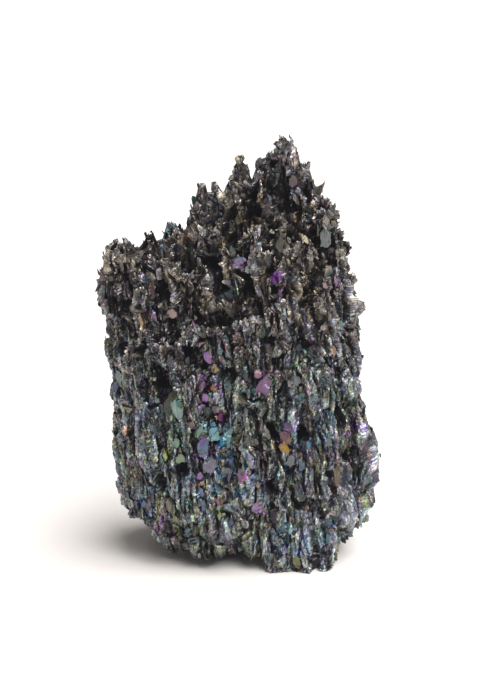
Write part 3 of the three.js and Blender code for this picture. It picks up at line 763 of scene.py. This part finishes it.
def ground_body(source):
    """The craggy body between the free crystals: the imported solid's skin with relief grown on it. Gives its
    points, its faces and its growth values."""
    mesh = remeshed(source, GROUND_VOXEL)
    points, triangles, normals = mesh_arrays(mesh)
    edges = np.empty(len(mesh.edges) * 2, np.int32)
    mesh.edges.foreach_get("vertices", edges)
    quads = np.empty(len(mesh.loops), np.int32)
    mesh.loops.foreach_get("vertex_index", quads)
    quads = largest_skin(quads.reshape(-1, 4), len(points))
    normals = unit(smoothed(normals, edges.reshape(-1, 2), SMOOTHING_ROUNDS))
    height, number, shade, tan = relief_at(points, normals)
    deep = hollows_at(points)
    depth = HOLLOW_DEPTH * deep - GROUND_RISE - height - spots_at(points, 0, SWELLS, SWELL_CENTRES)
    depth = np.minimum(depth, THINNEST_SHARE * thickness_at(points, normals, tree_of(points, triangles)))
    bend_amount = graded(BEND_AMOUNT, ramp(points[:, 2], *BEND_RISE))[:, None]
    bend = vector_noise(points, (3.6, 3.6, 5), (57, 58, 59)) * bend_amount
    resting = np.clip(points[:, 2] / RESTING_HEIGHT, 0, 1)[:, None]
    moved = points + resting * (bend - normals * depth[:, None])
    film, strength = tints_at(points, chances(number, 68, 4))
    film = np.where(tan > 0.4, TAN_FILM, film)
    strength = np.maximum(strength, 0.2 * tan)
    tone_and_painted_light = np.maximum(spots_at(points, 1, PAINTED_LIGHT_AND_TONES, PAINTED_LIGHT_AND_TONE_CENTRES), DARKEST_TONE_AND_LIGHT)
    # Painted shade darkens the hollows, and the spots make parts paler or darker, some of them painted light
    # and shade.
    growth = growth_values(film, strength, shade * (1 - 0.7 * deep) * tone_and_painted_light)
    for plate in single_plates(points, normals) + scattered_plates(points, normals, deep):
        lay_plate(plate, points, moved, growth)
    cut_notches(moved)
    return kept_inside(moved), quads, growth


def kept_inside(points):
    """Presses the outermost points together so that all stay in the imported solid's box."""
    low, high = low_corner + (BOX_LAYER, BOX_LAYER, 0), high_corner - BOX_LAYER
    over = np.maximum(points - high, 0)
    under = np.maximum(low - points, 0)
    pressed = points.clip(low, high) + BOX_LAYER * (1 - np.exp(-over / BOX_LAYER))
    pressed -= BOX_LAYER * (1 - np.exp(-under / BOX_LAYER))
    return pressed.clip(low_corner, high_corner)


def lay_plate(plate, points, moved, growth):
    """Flattens the points around a plate's centre into one crystal face with a broken outline."""
    centre, face, axis, width, height, above, below, strength, shade, rng = plate
    near = np.flatnonzero(((points - centre) ** 2).sum(1) < (0.75 * max(width, height)) ** 2)
    gap = points[near] - centre
    side = np.cross(axis, face)
    across, along, off = gap @ side / (width / 2), gap @ axis / (height / 2), gap @ face
    corners = (np.arange(6) + rng.uniform(-0.3, 0.3, 6)) * math.pi / 3
    reach = rng.uniform(0.72, 1.0, 6)
    out = (np.outer(across, np.cos(corners)) + np.outer(along, np.sin(corners))) / reach
    out = out.max(1) + 0.2 * value_noise(points[near], (0.9, 0.9, 1.1), 91)
    step = PLATE_STEP * (value_noise(points[near], (1.3, 1.3, 1.8), 92) > 0.25)
    level = np.abs(off) < PLATE_REACH
    inside = (out < 1) & level
    mine = near[inside]
    moved[mine] = points[mine] + face * (PLATE_RISE - step - off)[inside][:, None]
    share = np.clip(0.5 + along[inside] / 2, 0, 1)
    drift = FILM_DRIFT * value_noise(points[mine], (0.8, 0.8, 1.2), 93)
    growth[mine, 0] = below + (above - below) * share + drift
    growth[mine, 1] = strength
    growth[mine, 2] = shade * (1 + 0.25 * value_noise(points[mine], (0.5, 0.5, 0.7), 94))
    growth[mine, 3] = 0.72 - 0.45 * ramp(out[inside], 0.7, 1.0)

    # A shallow groove around it, darkened with painted shade.
    around = near[(out >= 1) & (out < 1.3) & level]
    moved[around] -= face * 0.2
    growth[around, 2] *= 0.88


def plate_at(centre, points, normals, view, size, films, looks, rng):
    """One plate's centre, face and growth directions, size, films, strength, shade and chances."""
    near = ((points - centre) ** 2).sum(1) < 1.2**2
    level = normals[near].mean(0) if near.any() else view
    face = level / np.linalg.norm(level) + view + rng.normal(0, 0.16, 3)
    face /= np.linalg.norm(face)
    axis = growth_direction(centre[None])[0] + rng.normal(0, 0.1, 3)
    axis -= face * (axis @ face)
    return centre, face, axis / np.linalg.norm(axis), *size, *films, *looks, rng


def single_plates(points, normals):
    """The plates that stand out one by one in the picture."""
    rng = np.random.default_rng(96)
    eye = np.array(camera.matrix_world.translation) / MM
    plates = []
    for (_, _, width, height, above, below, strength), centre in zip(SINGLE_PLATES, PLATE_CENTRES):
        view = (eye - centre) / np.linalg.norm(eye - centre)
        looks = min(1.1 * strength, 1), rng.uniform(0.75, 1.0) * (1 + 0.4 * strength)
        plates.append(plate_at(centre, points, normals, view, (width, height), (above, below), looks, rng))
    return plates


def scattered_plates(points, normals, deep):
    """Plates all over the body, outside the hollows."""
    rng = np.random.default_rng(95)
    chosen = rng.choice(np.flatnonzero(deep < 0.15), PLATES)
    films, strengths = tints_at(points[chosen], rng.uniform(0, 1, (PLATES, 4)))
    plates = []
    for index, film, strength in zip(chosen, films, strengths):
        width = 1.3 * math.exp(rng.normal(0, 0.35))
        size = width, width * rng.uniform(1.0, 2.0)
        drift = rng.normal(0, 10)
        films_on_it = film + drift, film - drift
        looks = min(1.3 * strength + 0.05, 1), rng.uniform(0.35, 0.75)
        normal = normals[index]
        plates.append(plate_at(points[index], points, normals, normal, size, films_on_it, looks, rng))
    return plates


def ground_piece(name, points, quads, growth):
    """A mesh of some of the body's faces, with only the points that they use."""
    used, corners = np.unique(quads, return_inverse=True)
    return new_mesh(name, points[used], corners.ravel(), np.full(len(quads), 4), growth[used])


# --- crystals ---


def surface_samples(points, triangles, count, rng):
    """Random places on a skin, spread evenly by area, and the skin's normals there."""
    a, b, c = (points[triangles[:, n]] for n in range(3))
    cross = np.cross(b - a, c - a)
    area = np.linalg.norm(cross, axis=1)
    chosen = rng.choice(len(area), count, p=area / area.sum())
    u, v = rng.uniform(0, 1, (2, count))
    flip = u + v > 1
    u, v = np.where(flip, 1 - u, u), np.where(flip, 1 - v, v)
    places = a[chosen] + u[:, None] * (b - a)[chosen] + v[:, None] * (c - a)[chosen]
    return places, unit(cross[chosen])


def open_places(skin, count, rng):
    """Places on the ground that can be seen, and their normals."""
    points, triangles, tree = skin
    places, normals = surface_samples(points, triangles, int(count * TRIES_A_CRYSTAL), rng)
    keep = (places[:, 2] > 0.4) & ~((normals[:, 2] < -0.6) & (places[:, 2] < 3))
    keep &= (rng.uniform(0, 1, len(places)) > hollows_at(places)) & ~under_single_plate(places)
    for index in np.flatnonzero(keep):
        start = Vector(places[index] + normals[index] * 0.1)
        keep[index] = tree.ray_cast(start, Vector(normals[index]), CLEAR_WAY)[0] is None
    return places[keep][:count], normals[keep][:count]


def under_single_plate(points):
    """Whether the places lie where one of the single plates is."""
    under = np.zeros(len(points), bool)
    for (_, _, width, height, *_), centre in zip(SINGLE_PLATES, PLATE_CENTRES):
        away = (points - centre) / (width / 2, width / 2 + 1, height / 2)
        under |= (away * away).sum(1) < 1
    return under


def outward_of(normals, axes, rng):
    """The direction out of the mass, square to the growth direction, or any such direction on top of it, and
    how much the place faces along the growth direction."""
    rise = (normals * axes).sum(1)
    level = normals - axes * rise[:, None]
    sideways = rng.normal(0, 1, normals.shape)
    sideways -= axes * (sideways * axes).sum(1, keepdims=True)
    return unit(level + 0.15 * unit(sideways)), np.clip(rise, 0, 1)


def prism_faces(corners):
    """The corner numbers of a prism's faces, for an outline of that many corners."""
    front = tuple(range(corners))
    back = tuple(range(2 * corners - 1, corners - 1, -1))
    after = [(n + 1) % corners for n in range(corners)]
    return [front, back] + [(n, n + corners, after[n] + corners, after[n]) for n in range(corners)]


# A splinter's faces run from its top, 0, and from its bottom, 1, to the ring of corners between them.
RING = ((2, 3), (3, 4), (4, 5), (5, 2))
SPLINTER_FACES = [(0, this, after) for this, after in RING] + [(1, after, this) for this, after in RING]


def crystals_mesh(name, groups):
    """One mesh of groups of like crystals. A group is (corner points, one crystal's faces, growth values)."""
    points, growth, loops, totals = [], [], [], []
    offset = 0
    for places, faces, values in groups:
        count, corners = places.shape[:2]
        pattern = np.concatenate([np.array(face) for face in faces])
        base = offset + corners * np.arange(count)
        loops.append((base[:, None] + pattern[None]).ravel())
        totals.append(np.tile([len(face) for face in faces], count))
        points.append(places.reshape(-1, 3))
        growth.append(values.reshape(-1, 4))
        offset += corners * count
    points = np.concatenate(points).clip(low_corner, high_corner)
    return new_mesh(name, points, np.concatenate(loops), np.concatenate(totals), np.concatenate(growth))


def splinters(skin, count, rng):
    """Small pointed grains with four sides, most of them upright."""
    places, normals = open_places(skin, count, rng)
    count = len(places)
    axes = unit(growth_direction(places) + rng.normal(0, 0.2, places.shape))
    outward, rise = outward_of(normals, axes, rng)
    size = np.exp(rng.normal(0, 0.4, count))
    radii = np.clip(SPLINTER_RADIUS * size, *SPLINTER_RADII)
    lengths = np.clip(SPLINTER_LENGTH * size * rng.uniform(0.5, 1.7, count), *SPLINTER_LENGTHS)
    lengths *= 1 + 0.2 * slope(places[:, 2], *CROWN_RISE) * rise
    middles = places + outward * (radii * rng.uniform(0, 1.2, count))[:, None]
    middles += axes * (rise * lengths * rng.uniform(0.1, 0.8, count))[:, None]
    tangent = np.cross(axes, outward)
    corners = np.empty((count, 6, 3))
    corners[:, 0] = middles + axes * lengths[:, None]
    corners[:, 1] = middles - axes * (lengths * rng.uniform(0.4, 0.9, count))[:, None]
    spin = rng.uniform(0, math.pi / 2, count)
    for side in range(4):
        angle = spin + side * math.pi / 2 + rng.normal(0, 0.25, count)
        reach = radii * rng.uniform(0.5, 1.5, count)
        level = lengths * rng.uniform(-0.45, 0.5, count)
        ring = outward * (np.cos(angle) * reach)[:, None] + tangent * (np.sin(angle) * reach)[:, None]
        corners[:, 2 + side] = middles + ring + axes * level[:, None]
    film, strength = tints_at(places, rng.uniform(0, 1, (count, 4)))
    shade = rng.uniform(0.35, 1.25, count)
    films = film[:, None] + rng.normal(0, FILM_DRIFT, (count, 6))
    return [(corners, SPLINTER_FACES, growth_values(films, strength[:, None], shade[:, None]))]


def outlines(corners, count, rng):
    """Irregular flat shapes, from -1 to 1 across and along, counter-clockwise, with 4 or 6 corners."""
    if corners == 4:
        across = np.tile([-1.0, 1.0, 1.0, -1.0], (count, 1)) * rng.uniform(0.35, 1, (count, 4))
        along = np.tile([-1.0, -1.0, 1.0, 1.0], (count, 1)) * rng.uniform(0.55, 1, (count, 4))
        return across, along
    across = np.tile([-1.0, 0.0, 1.0, 1.0, 0.0, -1.0], (count, 1)) * rng.uniform(0.6, 1, (count, 6))
    across[:, [1, 4]] = rng.uniform(-0.55, 0.55, (count, 2))
    along = np.tile([-0.6, -1.0, -0.6, 0.6, 1.0, 0.6], (count, 1)) + rng.uniform(-0.25, 0.2, (count, 6))
    return across, along


def prisms(middles, axes, faces, size, outline, chamfer):
    """Flat crystals' corners as (crystal, corner, xyz), first the front outline's, then the back's. Size is
    (widths, lengths, thicknesses). The front is smaller than the back by the chamfer's share."""
    widths, lengths, thicknesses = size
    across, along = outline
    sides = np.cross(axes, faces)
    over = sides[:, None] * (across * widths[:, None] / 2)[..., None]
    up = axes[:, None] * (along * lengths[:, None] / 2)[..., None]
    half = (faces * thicknesses[:, None] / 2)[:, None]
    narrow, short = (1 - chamfer)[:, None, None], (1 - chamfer * 0.4)[:, None, None]
    middles = middles[:, None]
    return np.concatenate([middles + over * narrow + up * short + half, middles + over + up - half], axis=1)


def laths(skin, count, rng):
    """Upright laths that face outward, and fins that stand edge on."""
    places, normals = open_places(skin, count, rng)
    count = len(places)
    axes = unit(growth_direction(places) + rng.normal(0, 0.07, places.shape))
    outward, rise = outward_of(normals, axes, rng)
    bundle = value_noise(upright(places), (1.8, 1.8, 5), 41)
    fin = rng.uniform(0, 1, count) < FIN_SHARE
    turn = np.where(fin, math.pi / 2 + rng.normal(0, 0.4, count), 1.2 * bundle + rng.normal(0, 0.35, count))
    faces = outward * np.cos(turn)[:, None] + np.cross(axes, outward) * np.sin(turn)[:, None]
    axes = unit(axes - faces * rng.normal(0.03, 0.12, count)[:, None])
    faces = unit(faces - axes * (faces * axes).sum(1, keepdims=True))
    scale = np.exp(rng.normal(0, 0.4, count))
    lengths = np.clip(LATH_LENGTH * scale * rng.uniform(0.6, 1.7, count), *LATH_LENGTHS)
    fin_widths = rng.uniform(*FIN_WIDTHS, count)
    lath_widths = np.clip(LATH_WIDTH * scale * rng.uniform(0.6, 1.5, count), *LATH_WIDTHS)
    widths = np.where(fin, fin_widths, lath_widths)
    depths = np.where(fin, rng.uniform(*FIN_DEPTHS, count), rng.uniform(*LATH_DEPTHS, count))
    proud = np.where(fin, rng.uniform(-0.2, 0.3, count), rng.uniform(-0.1, 0.45, count))
    middles = places + outward * proud[:, None]
    middles += axes * (rise * (lengths / 2 - rng.uniform(0.2, 0.9, count)))[:, None]
    film, strength = tints_at(places, rng.uniform(0, 1, (count, 4)))
    shade = rng.uniform(0.45, 1.6, count)
    chamfer = np.where(fin, 0.15, rng.uniform(0.1, 0.5, count))
    hexagonal = rng.uniform(0, 1, count) < HEXAGONAL_SHARE
    groups = []
    for corners, mine in ((6, hexagonal), (4, ~hexagonal)):
        n = int(mine.sum())
        outline = outlines(corners, n, rng)
        size = (widths[mine], lengths[mine], depths[mine])
        solid = prisms(middles[mine], axes[mine], faces[mine], size, outline, chamfer[mine])
        films = np.tile(outline[1], 2) * rng.normal(0, 22, n)[:, None] + film[mine][:, None]
        looks = growth_values(films, strength[mine][:, None], shade[mine][:, None])
        groups.append((solid, prism_faces(corners), looks))
    return groups


# --- studio ---


def point_camera():
    """The camera in front and a little above, with a long lens."""
    data = bpy.data.cameras.new("camera")
    camera = bpy.data.objects.new("camera", data)
    bpy.context.scene.collection.objects.link(camera)
    data.lens = LENS
    data.sensor_width = SENSOR
    data.clip_end = 20
    back = Vector((0, -math.cos(ELEVATION), math.sin(ELEVATION)))
    camera.location = (Vector(TARGET) + back * DISTANCE) * MM
    camera.rotation_euler = (-back).to_track_quat("-Z", "Y").to_euler()
    bpy.context.scene.camera = camera
    bpy.context.view_layer.update()
    return camera


def lay_floor():
    """A plain pale floor."""
    bpy.ops.mesh.primitive_plane_add(size=8, location=(0, 0, 0))
    floor = bpy.context.object
    floor.name = "floor"
    paper = bpy.data.materials.new("paper")
    paper.use_nodes = True
    shader = paper.node_tree.nodes["Principled BSDF"]
    shader.inputs["Base Color"].default_value = FLOOR_COLOUR
    shader.inputs["Roughness"].default_value = 0.8
    shader.inputs["Specular IOR Level"].default_value = 0.1
    floor.data.materials.append(paper)


def light_studio():
    """A soft sun from above and the right, a lamp at the front, and a faint even surround."""
    for name, kind, place, size, power in LIGHTS:
        data = bpy.data.lights.new(name, kind)
        if kind == "SUN":
            data.angle = size
        else:
            data.size = size
        data.energy = power
        light = bpy.data.objects.new(name, data)
        light.location = place
        light.rotation_euler = (Vector((0, 0, 0.04)) - Vector(place)).to_track_quat("-Z", "Y").to_euler()
        bpy.context.scene.collection.objects.link(light)
    world = bpy.data.worlds.new("surround")
    bpy.context.scene.world = world
    world.use_nodes = True
    background = world.node_tree.nodes["Background"]
    background.inputs["Color"].default_value = SURROUND_COLOUR
    background.inputs["Strength"].default_value = 0.2


def set_view():
    """How light turns into the picture's colours."""
    view = bpy.context.scene.view_settings
    view.view_transform = "Standard"
    view.gamma = 1.12
    view.use_curve_mapping = True
    view.curve_mapping.black_level = BLACK_LEVEL


# --- making ---

camera = point_camera()
lay_floor()
light_studio()
set_view()

low_corner, high_corner = (np.array(corner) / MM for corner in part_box(NODE))
solid_points, solid_triangles, _ = mesh_arrays(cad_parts[NODE].data)
solid_tree = tree_of(solid_points, solid_triangles)
HOLLOW_CENTRES = seen_at([hollow[:2] for hollow in HOLLOWS])
ZONE_CENTRES = seen_at([zone[1:3] for zone in ZONES])
PLATE_CENTRES = seen_at([plate[:2] for plate in SINGLE_PLATES])
SWELL_CENTRES = seen_at([swell[:2] for swell in SWELLS])
PAINTED_LIGHT_AND_TONE_CENTRES = seen_at([tone_and_painted_light[:2] for tone_and_painted_light in PAINTED_LIGHT_AND_TONES])
NOTCH_PLACES = [picture_place(*notch[:2]) for notch in NOTCHES]

crystal = crystal_material()
points, quads, growth = ground_body(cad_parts[NODE])
order = np.argsort(points[quads[:, 0], 2], kind="stable")
for number, part in enumerate(np.array_split(order, math.ceil(2 * len(quads) / FACES_A_PIECE)), 1):
    name = f"crystal_ground_{number}"
    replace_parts(new_piece(name, ground_piece(name, points, quads[part], growth), crystal), NODE)

triangles = np.concatenate([quads[:, :3], quads[:, [0, 2, 3]]])
skin = (points, triangles, tree_of(points, triangles))
rng = np.random.default_rng(5)
for name, groups in (
    ("crystal_splinters_1", splinters(skin, SPLINTERS, rng)),
    ("crystal_laths_1", laths(skin, LATHS, rng)),
):
    new_piece(name, crystals_mesh(name, groups), crystal)
